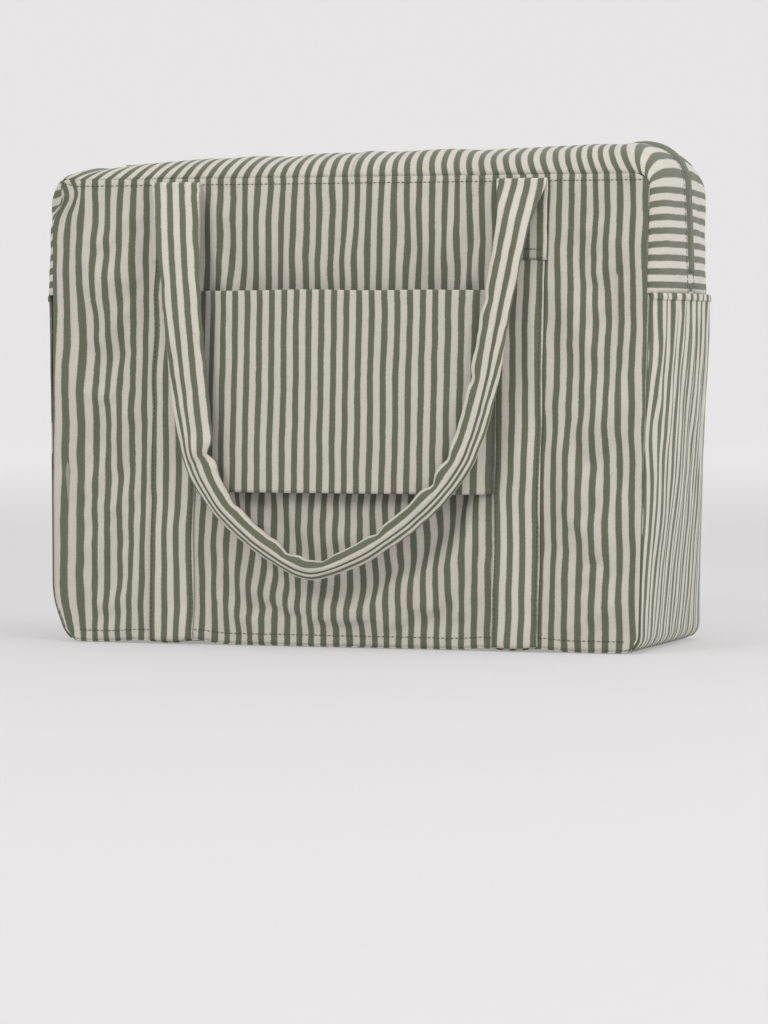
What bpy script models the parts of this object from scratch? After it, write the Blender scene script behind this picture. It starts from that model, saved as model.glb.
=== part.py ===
"""A striped cloth weekender bag: panels, pockets, two carry handles, a trolley sleeve and a zipped top.

Metres, +Z up. The origin is the middle of the base. -Y faces the back, which carries the trolley
sleeve, and +X is on the right of somebody who looks at that back. Each named object is one piece
of the bag. A piece that moves is parented to an empty on its joint's axis.
"""

import math

import bmesh
import bpy
from mathutils import Matrix, Vector

# Overall sizes.
BASE_LENGTH = 0.428
TOP_LENGTH = 0.444
DEPTH = 0.174
SEAM_HEIGHT = 0.333

# Cloth, and the clearance that touching pieces keep.
CLOTH = 0.002
GAP = 0.0004
PUFF_POWER = 4
TOP_CORNER = 0.012
BASE_CORNER = 0.006

# The zip's straight run over the top rises from left to right.
ZIP_LEFT_RISE = 0.010
ZIP_RIGHT_RISE = 0.022
MOUTH_MARGIN = 0.057
ZIP_CORNER = 0.032
ZIP_END_RISE = 0.023
CORNER_BULGE = 0.005
SIDE_BULGE = 0.010
BASE_BULGE = 0.002

# The zip's section: two tapes, a coil along the edge of each, and a post's width between the coils.
COIL_GAP = 0.0024
COIL_WIDTH = 0.0017
COIL_RISE = 0.0011
TAPE_WIDTH = 0.0118
TAPE_THICKNESS = 0.0008
ZIP_STOP_LENGTH = 0.003

# The slider and its pull.
SLIDER_LENGTH = 0.010
SLIDER_PLATE = 0.0012
SLIDER_FLANGE = 0.0010
CHEEK_LENGTH = 0.004
CHEEK_THICKNESS = 0.0010
PIN_RADIUS = 0.0006
EYE_WALL = 0.0006
EYE_WIDTH = 0.0038
PULL_LENGTH = 0.024
PULL_WIDTH = 0.0070
PULL_THICKNESS = 0.0014

# Pockets and sleeves.
POCKET_HEIGHT = 0.250
POCKET_STANDOFF = 0.008
SLEEVE_MARGIN = 0.0065
SLEEVE_BASE = 0.110
SLEEVE_TOP = 0.253
SLEEVE_STANDOFF = 0.016
LAPTOP_EDGE = 0.003
LAPTOP_HEIGHT = 0.252
LAPTOP_STANDOFF = 0.012
BINDING_WIDTH = 0.009
BINDING_THICKNESS = 0.0016

# Straps and handles.
LEFT_STRAP_X = -0.130
RIGHT_STRAP_X = 0.127
STRIP_WIDTH = 0.034
STRAP_WIDTH = 0.036
STRAP_THICKNESS = 0.0024
STRIP_BASE = 0.006
FOLD_DEPTH = 0.005
ROOT_LENGTH = 0.051
HANDLE_DROP = 0.270
HANDLE_CLEARANCE = 0.010
HANDLE_WAIST = 0.018
HANDLE_WAIST_THICKNESS = 0.012

# The hanging handle's route: share of the way from the middle to its own strap, share of the drop.
HANDLE_ROUTE = (
    (-1.00, 0.000),
    (-0.95, 0.100),
    (-0.89, 0.270),
    (-0.85, 0.450),
    (-0.81, 0.610),
    (-0.74, 0.750),
    (-0.60, 0.855),
    (-0.38, 0.940),
    (-0.12, 1.000),
    (0.18, 0.955),
    (0.45, 0.862),
    (0.67, 0.757),
    (0.79, 0.640),
    (0.88, 0.470),
    (0.95, 0.240),
    (1.00, 0.000),
)

# Colour, roughness and metallic value.
STRIPED_CLOTH = ((0.46, 0.46, 0.38), 0.85, 0.0)
STRIPED_STRAP = ((0.52, 0.51, 0.43), 0.85, 0.0)
SAGE_TAPE = ((0.16, 0.19, 0.14), 0.80, 0.0)
SAGE_COIL = ((0.13, 0.16, 0.12), 0.55, 0.0)
SAGE_METAL = ((0.20, 0.22, 0.18), 0.40, 0.8)
LINING = ((0.62, 0.59, 0.52), 0.90, 0.0)

LEFT, RIGHT = -1, 1
BACK, FRONT = -1, 1
SIDE_NAMES = {LEFT: "left", RIGHT: "right"}
FACE_NAMES = {BACK: "back", FRONT: "front"}
STRAP_X = {LEFT: LEFT_STRAP_X, RIGHT: RIGHT_STRAP_X}

# The middle surface of the outer ring of cloth, and the cloth's edge beside a seam.
HALF_CLOTH = CLOTH / 2
SEAM_Y = DEPTH / 2 - GAP - HALF_CLOTH
PANEL_INSET = CLOTH + GAP

# The fold of a handle, its bar stitches and its hinge.
FOLD_HEIGHT = SEAM_HEIGHT - FOLD_DEPTH
STITCH_HEIGHT = FOLD_HEIGHT - ROOT_LENGTH
STRAP_FACE = DEPTH / 2 + GAP + STRAP_THICKNESS / 2
HINGE_OUT = DEPTH / 2 + 2 * GAP + 1.5 * STRAP_THICKNESS
HANDLE_OUT = DEPTH / 2 + SLEEVE_STANDOFF + HANDLE_CLEARANCE
SLEEVE_WIDTH = RIGHT_STRAP_X - LEFT_STRAP_X - STRIP_WIDTH - 2 * SLEEVE_MARGIN

# The zip: its mouth, and the running clearance between the slider and the coils.
RUNNING_GAP = 0.75 * GAP
MOUTH_LENGTH = TOP_LENGTH - 2 * MOUTH_MARGIN
MOUTH_END = MOUTH_LENGTH / 2
ZIP_END_HEIGHT = POCKET_HEIGHT + ZIP_END_RISE
TAPE_TOP = -HALF_CLOTH - GAP
TAPE_BASE = TAPE_TOP - TAPE_THICKNESS
COIL_OUT = COIL_GAP / 2 + COIL_WIDTH
SLIDER_OUT = COIL_OUT + RUNNING_GAP + SLIDER_FLANGE
ZIP_SLOT = 2 * (SLIDER_OUT + GAP)
SLIDER_TOP = COIL_RISE + RUNNING_GAP + SLIDER_PLATE
EYE_RADIUS = PIN_RADIUS + RUNNING_GAP + EYE_WALL
PIN_RISE = SLIDER_TOP + RUNNING_GAP + EYE_RADIUS


# ---------------------------------------------------------------- scene and small helpers


def clear_scene():
    for obj in list(bpy.data.objects):
        bpy.data.objects.remove(obj, do_unlink=True)


def new_collection(name, hidden=False):
    collection = bpy.data.collections.new(name)
    collection.hide_render = hidden
    bpy.context.scene.collection.children.link(collection)
    return collection


clear_scene()
BAG = new_collection("weekender_bag")
CUTTERS = new_collection("cutters", hidden=True)


def paint(obj, finish):
    """Give the object a Principled material of its own."""
    colour, roughness, metallic = finish
    material = bpy.data.materials.new(obj.name + "_finish")
    material.use_nodes = True
    material.diffuse_color = (*colour, 1)
    shader = material.node_tree.nodes["Principled BSDF"]
    shader.inputs["Base Color"].default_value = (*colour, 1)
    shader.inputs["Roughness"].default_value = roughness
    shader.inputs["Metallic"].default_value = metallic
    obj.data.materials.append(material)


def mesh_object(name, bm, finish):
    mesh = bpy.data.meshes.new(name)
    bm.to_mesh(mesh)
    bm.free()
    obj = bpy.data.objects.new(name, mesh)
    BAG.objects.link(obj)
    paint(obj, finish)
    return obj


def box(name, low, high, finish):
    """A box between two opposite corners."""
    low, high = Vector(low), Vector(high)
    place = Matrix.Translation((low + high) / 2) @ Matrix.Diagonal((*(high - low), 1))
    bm = bmesh.new()
    bmesh.ops.create_cube(bm, size=1, matrix=place)
    return mesh_object(name, bm, finish)


def rod(name, centre, radius, length, finish, segments=24):
    """A cylinder along Y."""
    place = Matrix.Translation(centre) @ Matrix.Rotation(math.pi / 2, 4, "X")
    bm = bmesh.new()
    bmesh.ops.create_cone(
        bm,
        cap_ends=True,
        segments=segments,
        radius1=radius,
        radius2=radius,
        depth=length,
        matrix=place,
    )
    return mesh_object(name, bm, finish)


def cloth_sheet(name, point, across, along, finish):
    """A sheet CLOTH thick. Its middle surface is point(u, v), for u and v from 0 to 1."""
    bm = bmesh.new()
    bmesh.ops.create_grid(bm, x_segments=across, y_segments=along, size=0.5)
    for vertex in bm.verts:
        vertex.co = point(vertex.co.x + 0.5, vertex.co.y + 0.5)
    obj = mesh_object(name, bm, finish)
    thickness = obj.modifiers.new("cloth_thickness", "SOLIDIFY")
    thickness.thickness = CLOTH
    thickness.offset = 0
    thickness.use_even_offset = True
    return obj


def loft(name, rings, finish):
    """A closed solid through rings of points, with a flat cap at each end."""
    bm = bmesh.new()
    rows = [[bm.verts.new(point) for point in ring] for ring in rings]
    count = len(rows[0])
    for lower, upper in zip(rows, rows[1:]):
        for i in range(count):
            j = (i + 1) % count
            bm.faces.new((lower[i], lower[j], upper[j], upper[i]))
    bm.faces.new(rows[0][::-1])
    bm.faces.new(rows[-1])
    bmesh.ops.recalc_face_normals(bm, faces=bm.faces)
    return mesh_object(name, bm, finish)


def combine(obj, other, operation):
    """Join another object to this one, or cut it away, and keep the other as a hidden cutter."""
    BAG.objects.unlink(other)
    CUTTERS.objects.link(other)
    other.hide_render = True
    other.display_type = "WIRE"
    boolean = obj.modifiers.new(other.name, "BOOLEAN")
    boolean.operation = operation
    boolean.solver = "EXACT"
    boolean.object = other


def joint_empty(name, location):
    empty = bpy.data.objects.new(name, None)
    empty.empty_display_size = 0.02
    empty.location = location
    BAG.objects.link(empty)
    return empty


def ride_on(empty, *pieces):
    """Parent pieces to a joint's empty, and leave them where they are."""
    for piece in pieces:
        piece.parent = empty
        piece.matrix_parent_inverse = Matrix.Translation(empty.location).inverted()


def blend(start, end, share):
    return start + (end - start) * share


# ---------------------------------------------------------------- shared outlines


def half_length(z):
    """Half of the bag's length over its side seams at the height z."""
    return blend(BASE_LENGTH, TOP_LENGTH, z / SEAM_HEIGHT) / 2


def zip_height(x):
    """Height of the zip's straight run at x."""
    return SEAM_HEIGHT + blend(ZIP_LEFT_RISE, ZIP_RIGHT_RISE, x / MOUTH_LENGTH + 0.5)


def arch(share):
    """How far puffed cloth has risen, from 0 at its seam to 1 at the middle of the depth."""
    return 1 - (1 - share) ** PUFF_POWER


def arc(centre, radius, start, end, steps):
    """Points on an arc, with its two angles in degrees from +X towards +Z."""
    angles = [math.radians(blend(start, end, i / steps)) for i in range(steps + 1)]
    return [Vector((centre[0] + radius * math.cos(a), centre[1] + radius * math.sin(a))) for a in angles]


def panel_outline(inset):
    """The outline of a large panel, inset from the ring of cloth round it, as (x, z) points."""
    base = PANEL_INSET + inset
    top = SEAM_HEIGHT - inset
    low_r = max(BASE_CORNER - PANEL_INSET - inset, BINDING_THICKNESS)
    high_r = max(TOP_CORNER - HALF_CLOTH - GAP - inset, BINDING_THICKNESS)
    low_x = half_length(base + low_r) - PANEL_INSET - inset
    high_x = half_length(SEAM_HEIGHT) - PANEL_INSET - inset
    middle = Vector((half_length(POCKET_HEIGHT) - PANEL_INSET - inset, POCKET_HEIGHT))
    points = arc((low_x - low_r, base + low_r), low_r, -90, 0, 6) + [middle]
    points += arc((high_x - high_r, top - high_r), high_r, 0, 90, 6)
    return points + [Vector((-p.x, p.y)) for p in reversed(points)]


def round_the_corner(start, corner_x, corner_z, radius, end):
    """Points along the top, round a corner and down the side, for the bag's right side."""
    turn = arc((corner_x - radius, corner_z - radius), radius, 90, 0, 8)
    along_top = [start.lerp(turn[0], i / 2) for i in range(2)]
    down_side = [turn[-1].lerp(end, (i + 1) / 4) for i in range(4)]
    return along_top + turn + down_side


def seam_path(side):
    """The gusset's seam with a panel, from the end of the mouth to the top of the side pocket."""
    reach = half_length(SEAM_HEIGHT) - HALF_CLOTH
    top = SEAM_HEIGHT + GAP + HALF_CLOTH
    low = Vector((half_length(POCKET_HEIGHT) - HALF_CLOTH, POCKET_HEIGHT + GAP))
    path = round_the_corner(Vector((MOUTH_END, top)), reach, top, TOP_CORNER, low)
    return [Vector((side * p.x, p.y)) for p in path]


def side_middle(z):
    """How far out a side panel stands at the middle of the bag's depth."""
    return half_length(z) - HALF_CLOTH + blend(BASE_BULGE, SIDE_BULGE, z / POCKET_HEIGHT)


def zip_corner(side):
    """Where the zip ends its turn round a top corner, as (x, z) on the bag's right side."""
    reach = half_length(SEAM_HEIGHT) - HALF_CLOTH + CORNER_BULGE
    return Vector((reach, zip_height(side * (reach - ZIP_CORNER)) - ZIP_CORNER))


def zip_side_point(side, z):
    """A point of the zip's run down a side, at the height z, as (x, z) on the bag's right side."""
    high = zip_corner(side)
    low = Vector((side_middle(POCKET_HEIGHT), POCKET_HEIGHT))
    return high.lerp(low, (high.y - z) / (high.y - low.y))


def zip_path(side, low_z):
    """The zip's line over the same stretch as seam_path, ending at the height low_z."""
    corner = zip_corner(side)
    start = Vector((MOUTH_END, zip_height(side * MOUTH_END)))
    low = zip_side_point(side, low_z)
    path = round_the_corner(start, corner.x, corner.y + ZIP_CORNER, ZIP_CORNER, low)
    return [Vector((side * p.x, p.y)) for p in path]


def side_surface(y, z):
    """How far out the side stands at any point, at the middle of the cloth."""
    edge = half_length(z) - HALF_CLOTH
    return blend(edge, side_middle(z), arch(1 - abs(y) / SEAM_Y))


# ---------------------------------------------------------------- body of the bag


def large_panel(facing):
    """The back or the front, a flat outline inside the ring of cloth."""
    name = FACE_NAMES[facing] + "_panel"
    curve = bpy.data.curves.new(name, "CURVE")
    curve.dimensions = "2D"
    curve.fill_mode = "BOTH"
    curve.extrude = HALF_CLOTH
    add_outline(curve, panel_outline(0))
    place_flat(name, curve, facing * (DEPTH / 2 - HALF_CLOTH), STRIPED_CLOTH)


def seam_binding(facing):
    """The tape that covers the raw edges inside, all round one large panel."""
    name = FACE_NAMES[facing] + "_seam_binding"
    curve = bpy.data.curves.new(name, "CURVE")
    curve.dimensions = "2D"
    curve.fill_mode = "BOTH"
    curve.extrude = BINDING_THICKNESS / 2
    add_outline(curve, panel_outline(GAP))
    add_outline(curve, panel_outline(GAP + BINDING_WIDTH))
    inside = DEPTH / 2 - CLOTH - GAP - BINDING_THICKNESS / 2
    place_flat(name, curve, facing * inside, SAGE_TAPE)


def add_outline(curve, points):
    spline = curve.splines.new("POLY")
    spline.points.add(len(points) - 1)
    for corner, point in zip(spline.points, points):
        corner.co = (point.x, point.y, 0, 1)
    spline.use_cyclic_u = True


def place_flat(name, curve, y, finish):
    """Stand a flat outline upright, facing along Y."""
    obj = bpy.data.objects.new(name, curve)
    obj.rotation_euler = (math.pi / 2, 0, 0)
    obj.location = (0, y, 0)
    BAG.objects.link(obj)
    paint(obj, finish)


def base_panel():
    reach = half_length(0) - PANEL_INSET
    low = (-reach, -DEPTH / 2, 0)
    high = (reach, DEPTH / 2, CLOTH)
    box("base_panel", low, high, STRIPED_CLOTH)


def side_panel(side):
    """The side below the gusset, puffed out towards its top."""

    def point(u, v):
        y = blend(-SEAM_Y, SEAM_Y, u)
        z = blend(0, POCKET_HEIGHT, v)
        return Vector((side * side_surface(y, z), y, z))

    cloth_sheet(SIDE_NAMES[side] + "_side_panel", point, 12, 5, STRIPED_CLOTH)


def side_pocket(side):
    """The pocket over a side panel: sewn down at its base and edges, open at its top."""

    def point(u, v):
        y = blend(-SEAM_Y, SEAM_Y, u)
        z = blend(GAP, POCKET_HEIGHT, v)
        lift = CLOTH + GAP + POCKET_STANDOFF * v * arch(1 - abs(y) / SEAM_Y)
        return Vector((side * (side_surface(y, z) + lift), y, z))

    cloth_sheet(SIDE_NAMES[side] + "_side_pocket", point, 16, 6, STRIPED_CLOTH)


def luggage_sleeve():
    """The band on the back that slips over a trolley handle, open above and below."""
    centre = (LEFT_STRAP_X + RIGHT_STRAP_X) / 2

    def point(u, v):
        x = centre + blend(-0.5, 0.5, u) * SLEEVE_WIDTH
        lift = SLEEVE_STANDOFF * (1 - abs(2 * u - 1) ** 6)
        return Vector((x, -(DEPTH / 2 + GAP + HALF_CLOTH + lift), blend(SLEEVE_BASE, SLEEVE_TOP, v)))

    cloth_sheet("luggage_sleeve", point, 28, 2, STRIPED_CLOTH)


def laptop_sleeve():
    """The flat pouch inside the back panel, closed at its base."""
    margin = PANEL_INSET + GAP + BINDING_WIDTH + LAPTOP_EDGE
    reach = min(half_length(0), half_length(margin + LAPTOP_HEIGHT)) - margin

    def point(u, v):
        x = blend(-reach, reach, u)
        lift = LAPTOP_STANDOFF * v * (1 - abs(2 * u - 1) ** 6)
        inside = DEPTH / 2 - CLOTH - GAP - HALF_CLOTH - lift
        return Vector((x, -inside, margin + LAPTOP_HEIGHT * v))

    cloth_sheet("laptop_sleeve", point, 24, 4, LINING)


# ---------------------------------------------------------------- straps and handles


def strap_strip(facing, side):
    """The strap sewn flat on a large panel, from the base to its bar stitches."""
    name = FACE_NAMES[facing] + "_" + SIDE_NAMES[side] + "_strap_strip"
    upright_strap(name, facing, side, STRIP_WIDTH, STRIP_BASE, STITCH_HEIGHT)


def handle_root(facing, side):
    """The free stretch of strap from the bar stitches up to the fold."""
    name = FACE_NAMES[facing] + "_" + SIDE_NAMES[side] + "_handle_root"
    upright_strap(name, facing, side, STRAP_WIDTH, STITCH_HEIGHT + GAP, FOLD_HEIGHT)


def upright_strap(name, facing, side, width, low_z, high_z):
    half = STRAP_THICKNESS / 2
    x = STRAP_X[side]
    low = (x - width / 2, facing * STRAP_FACE - half, low_z)
    high = (x + width / 2, facing * STRAP_FACE + half, high_z)
    box(name, low, high, STRIPED_STRAP)


def smooth_route(points, steps):
    """A Catmull-Rom curve through points, with its ends included."""
    padded = [2 * points[0] - points[1], *points, 2 * points[-1] - points[-2]]
    route = []
    for a, b, c, d in zip(padded, padded[1:], padded[2:], padded[3:]):
        for i in range(steps):
            t = i / steps
            curve = 2 * b + (c - a) * t + (2 * a - 5 * b + 4 * c - d) * t**2
            route.append((curve + (3 * b - a - 3 * c + d) * t**3) / 2)
    return route + [points[-1]]


def handle_points(facing):
    """The middle of a hanging handle: out from the fold, down, across and up again."""
    middle = (LEFT_STRAP_X + RIGHT_STRAP_X) / 2
    reach = (RIGHT_STRAP_X - LEFT_STRAP_X) / 2
    points = []
    for across, down in HANDLE_ROUTE:
        out = blend(HINGE_OUT, HANDLE_OUT, min(1, 3 * down) ** 0.7)
        points.append(Vector((middle + reach * across, facing * out, FOLD_HEIGHT - HANDLE_DROP * down)))
    return smooth_route(points, 3)


def handle(facing):
    """A carry handle: flat and wide at its ends, folded into a thick round at the grip."""
    name = FACE_NAMES[facing] + "_handle"
    route = handle_points(facing)
    rings = []
    for i, centre in enumerate(route):
        ahead = route[min(i + 1, len(route) - 1)] - route[max(i - 1, 0)]
        share = max(0, (FOLD_HEIGHT - centre.z) / HANDLE_DROP)
        width = blend(STRAP_WIDTH, HANDLE_WAIST, share**0.6)
        thickness = blend(STRAP_THICKNESS, HANDLE_WAIST_THICKNESS, share**1.2)
        wide = Vector((-ahead.z, 0, ahead.x)).normalized()
        if i in (0, len(route) - 1):
            wide = Vector((abs(ahead.z) / -ahead.z, 0, 0))
        rings.append([
            centre + wide * width / 2 * soft(math.cos(a)) + Vector((0, thickness / 2 * soft(math.sin(a)), 0))
            for a in (math.tau * k / 16 for k in range(16))
        ])
    obj = loft(name, rings, STRIPED_STRAP)
    hinge = joint_empty(name + "_hinge", (0, facing * HINGE_OUT, FOLD_HEIGHT))
    ride_on(hinge, obj)


def soft(value):
    """Square off a sine or cosine, for a rounded-rectangle section."""
    return math.copysign(abs(value) ** 0.5, value)


# ---------------------------------------------------------------- top gusset and zip


def gusset_end(facing, side):
    """The gusset past the mouth: over the top, round the corner, down to the pocket."""
    seam = seam_path(side)
    zip_line = zip_path(side, POCKET_HEIGHT + GAP)
    steps = len(seam) - 1

    def point(u, v):
        row = round(v * steps)
        x, z = seam[row].lerp(zip_line[row], arch(u))
        return Vector((x, facing * blend(SEAM_Y, ZIP_SLOT / 2, u), z))

    name = FACE_NAMES[facing] + "_" + SIDE_NAMES[side] + "_gusset_end"
    cloth_sheet(name, point, 9, steps, STRIPED_CLOTH)


def zip_section(part):
    """Outline of half of the zip across its run, as (y, rise) pairs."""
    inner = COIL_GAP / 2
    outer = COIL_OUT
    edge = inner + TAPE_WIDTH
    if part == "tape":
        return [(inner, TAPE_BASE), (edge, TAPE_BASE), (edge, TAPE_TOP), (inner, TAPE_TOP)]
    if part == "coil":
        low = TAPE_TOP + RUNNING_GAP
        return [(inner, low), (outer, low), (outer, COIL_RISE), (inner, COIL_RISE)]
    tape = [(inner, TAPE_BASE), (edge, TAPE_BASE), (edge, TAPE_TOP)]
    return tape + [(outer, TAPE_TOP), (outer, COIL_RISE), (inner, COIL_RISE)]


def zip_end(facing, side):
    """Tape and coil beyond the mouth, in one: along the top, round the corner and down."""
    path = zip_path(side, ZIP_END_HEIGHT)
    path[0] = path[0] + Vector((side * GAP, 0))
    section = zip_section("both")
    rings = []
    for i, place in enumerate(path):
        ahead = (path[min(i + 1, len(path) - 1)] - path[max(i - 1, 0)]).normalized()
        outward = Vector((-ahead.y, ahead.x)) * side
        rings.append([
            Vector((place.x + outward.x * rise, facing * y, place.y + outward.y * rise))
            for y, rise in section
        ])
    loft(FACE_NAMES[facing] + "_" + SIDE_NAMES[side] + "_zip_end", rings, SAGE_TAPE)


def zip_stop(side):
    """The metal stop across both coils at the end of the zip."""
    x = side * zip_side_point(side, ZIP_END_HEIGHT).x
    top = ZIP_END_HEIGHT - GAP
    low = (x - COIL_RISE, -COIL_OUT, top - ZIP_STOP_LENGTH)
    box(SIDE_NAMES[side] + "_zip_stop", low, (x + COIL_RISE, COIL_OUT, top), SAGE_METAL)


def zip_end_tab(side):
    """The scrap of cloth that closes the slot between the end of the zip and the pocket."""
    top = ZIP_END_HEIGHT - 2 * GAP - ZIP_STOP_LENGTH
    half = ZIP_SLOT / 2 - GAP

    def point(u, v):
        z = blend(POCKET_HEIGHT + GAP, top, v)
        return Vector((side * zip_side_point(side, z).x, blend(-half, half, u), z))

    cloth_sheet(SIDE_NAMES[side] + "_zip_end_tab", point, 1, 1, STRIPED_CLOTH)


def zip_flap(facing):
    """One lip of the mouth: the gusset cloth with its half of the zip, hinged at the top seam."""
    reach = MOUTH_END - GAP

    def point(u, v):
        x = blend(-reach, reach, v)
        seam = SEAM_HEIGHT + GAP + HALF_CLOTH
        z = blend(seam, zip_height(x), arch(u))
        return Vector((x, facing * blend(SEAM_Y, ZIP_SLOT / 2, u), z))

    face = FACE_NAMES[facing]
    cloth = cloth_sheet(face + "_zip_flap", point, 10, 6, STRIPED_CLOTH)
    tape = zip_run(face + "_zip_tape", facing, zip_section("tape"), SAGE_TAPE)
    coil = zip_run(face + "_zip_coil", facing, zip_section("coil"), SAGE_COIL)
    hinge = joint_empty(face + "_flap_hinge", (0, facing * DEPTH / 2, SEAM_HEIGHT))
    ride_on(hinge, cloth, tape, coil)


def zip_run(name, facing, section, finish):
    """A straight length of the zip over the mouth, with one outline across it."""
    rings = []
    for x in (GAP - MOUTH_END, MOUTH_END - GAP):
        rings.append([Vector((x, facing * y, zip_height(x) + rise)) for y, rise in section])
    return loft(name, rings, finish)


def zip_slope():
    return math.atan2(ZIP_RIGHT_RISE - ZIP_LEFT_RISE, MOUTH_LENGTH)


def slider_rest():
    """Where the slider is parked: just past the left end of the mouth."""
    x = -(MOUTH_END + SLIDER_LENGTH / 2 + 6 * GAP)
    return Vector((x, 0, zip_height(x)))


def slider_outline():
    """The slider's section: two plates joined by a post, with flanges beside the coils."""
    post = COIL_GAP / 2 - RUNNING_GAP
    inner = SLIDER_OUT - SLIDER_FLANGE
    outer = SLIDER_OUT
    roof = COIL_RISE + RUNNING_GAP
    top = SLIDER_TOP
    floor = TAPE_BASE - GAP
    base = floor - SLIDER_PLATE
    skirt = TAPE_TOP + GAP
    right = [(post, floor), (post, roof), (inner, roof), (inner, skirt), (outer, skirt), (outer, top)]
    right = [(outer, base), (outer, floor)] + right
    return right + [(-y, z) for y, z in reversed(right)]


def zip_slider():
    """The slider, its pull and the pin between them, turned to the slope of the zip."""
    place = Matrix.Translation(slider_rest()) @ Matrix.Rotation(-zip_slope(), 4, "Y")
    outline = slider_outline()
    ends = (-SLIDER_LENGTH / 2, SLIDER_LENGTH / 2)
    slider = loft("zip_slider", [[Vector((x, y, z)) for y, z in outline] for x in ends], SAGE_METAL)
    for side in (LEFT, RIGHT):
        inner = EYE_WIDTH / 2 + RUNNING_GAP
        y = side * (inner + CHEEK_THICKNESS / 2)
        low = (-CHEEK_LENGTH / 2, y - CHEEK_THICKNESS / 2, SLIDER_TOP - SLIDER_PLATE / 2)
        high = (CHEEK_LENGTH / 2, y + CHEEK_THICKNESS / 2, PIN_RISE + 2 * PIN_RADIUS)
        combine(slider, turned(box("cheek_" + SIDE_NAMES[side], low, high, SAGE_METAL), place), "UNION")
    pin = rod("zip_pull_pin", (0, 0, PIN_RISE), PIN_RADIUS, EYE_WIDTH + GAP, SAGE_METAL)
    pull = zip_pull(place)
    for piece in (slider, pin, pull):
        turned(piece, place)
    slide = joint_empty("zip_slide", slider_rest())
    ride_on(slide, slider, pin)
    hinge = joint_empty("zip_pull_hinge", place @ Vector((0, 0, PIN_RISE)))
    ride_on(hinge, pull)


def zip_pull(place):
    """The pull: an eye round the pin and a flat tab, lying towards the left at rest."""
    pull = rod("zip_pull", (0, 0, PIN_RISE), EYE_RADIUS, EYE_WIDTH, SAGE_METAL)
    low = PIN_RISE - PULL_THICKNESS / 2
    high = PIN_RISE + PULL_THICKNESS / 2
    neck_end = -CHEEK_LENGTH / 2 - 2 * GAP
    neck_low = (neck_end - GAP, -EYE_WIDTH / 2, low)
    neck = box("pull_neck", neck_low, (-EYE_RADIUS / 2, EYE_WIDTH / 2, high), SAGE_METAL)
    tab_low = (neck_end - PULL_LENGTH, -PULL_WIDTH / 2, low)
    tab = box("pull_tab", tab_low, (neck_end, PULL_WIDTH / 2, high), SAGE_METAL)
    eye = rod("pull_eye", (0, 0, PIN_RISE), EYE_RADIUS - EYE_WALL, 2 * EYE_WIDTH, SAGE_METAL)
    combine(pull, turned(neck, place), "UNION")
    combine(pull, turned(tab, place), "UNION")
    combine(pull, turned(eye, place), "DIFFERENCE")
    return pull


def turned(obj, place):
    obj.matrix_world = place
    return obj


# ---------------------------------------------------------------- assembly

base_panel()
luggage_sleeve()
laptop_sleeve()
zip_slider()
for face in (BACK, FRONT):
    large_panel(face)
    seam_binding(face)
    zip_flap(face)
    handle(face)
    for end in (LEFT, RIGHT):
        strap_strip(face, end)
        handle_root(face, end)
        gusset_end(face, end)
        zip_end(face, end)
for end in (LEFT, RIGHT):
    side_panel(end)
    side_pocket(end)
    zip_stop(end)
    zip_end_tab(end)
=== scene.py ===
"""Looks of the striped weekender bag: sewn cloth, straps, stitching, zip, light and camera."""

import math

import bmesh
import bpy
import numpy as np
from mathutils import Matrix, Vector, noise


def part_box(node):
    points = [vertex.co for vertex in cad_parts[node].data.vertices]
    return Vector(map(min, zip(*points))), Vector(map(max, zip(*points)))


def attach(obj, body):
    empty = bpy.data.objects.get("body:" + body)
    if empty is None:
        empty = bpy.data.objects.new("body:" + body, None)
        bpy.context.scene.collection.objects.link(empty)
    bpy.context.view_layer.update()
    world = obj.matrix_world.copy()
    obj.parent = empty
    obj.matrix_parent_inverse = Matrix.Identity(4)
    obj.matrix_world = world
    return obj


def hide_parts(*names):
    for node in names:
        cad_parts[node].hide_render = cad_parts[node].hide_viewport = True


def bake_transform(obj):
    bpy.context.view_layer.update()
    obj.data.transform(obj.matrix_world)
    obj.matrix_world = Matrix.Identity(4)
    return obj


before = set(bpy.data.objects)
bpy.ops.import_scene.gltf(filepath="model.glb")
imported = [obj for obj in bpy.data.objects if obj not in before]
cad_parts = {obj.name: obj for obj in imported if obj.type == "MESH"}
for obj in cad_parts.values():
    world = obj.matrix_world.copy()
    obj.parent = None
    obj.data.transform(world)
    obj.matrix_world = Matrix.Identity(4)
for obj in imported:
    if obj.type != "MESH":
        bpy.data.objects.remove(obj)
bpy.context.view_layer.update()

LEFT, RIGHT = -1, 1
BACK, FRONT = -1, 1
SIDES = {LEFT: "left", RIGHT: "right"}
FACES = {BACK: "back", FRONT: "front"}

# ---- sizes taken from the frame

panel_low, panel_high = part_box("back_panel")
base_low, base_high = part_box("base_panel")
side_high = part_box("right_side_panel")[1]
pocket_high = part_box("right_side_pocket")[1]
tape_low, tape_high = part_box("back_zip_tape")
sleeve_low, sleeve_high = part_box("luggage_sleeve")
pouch_low, pouch_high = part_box("laptop_sleeve")
stop_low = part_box("right_zip_stop")[0]

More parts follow.
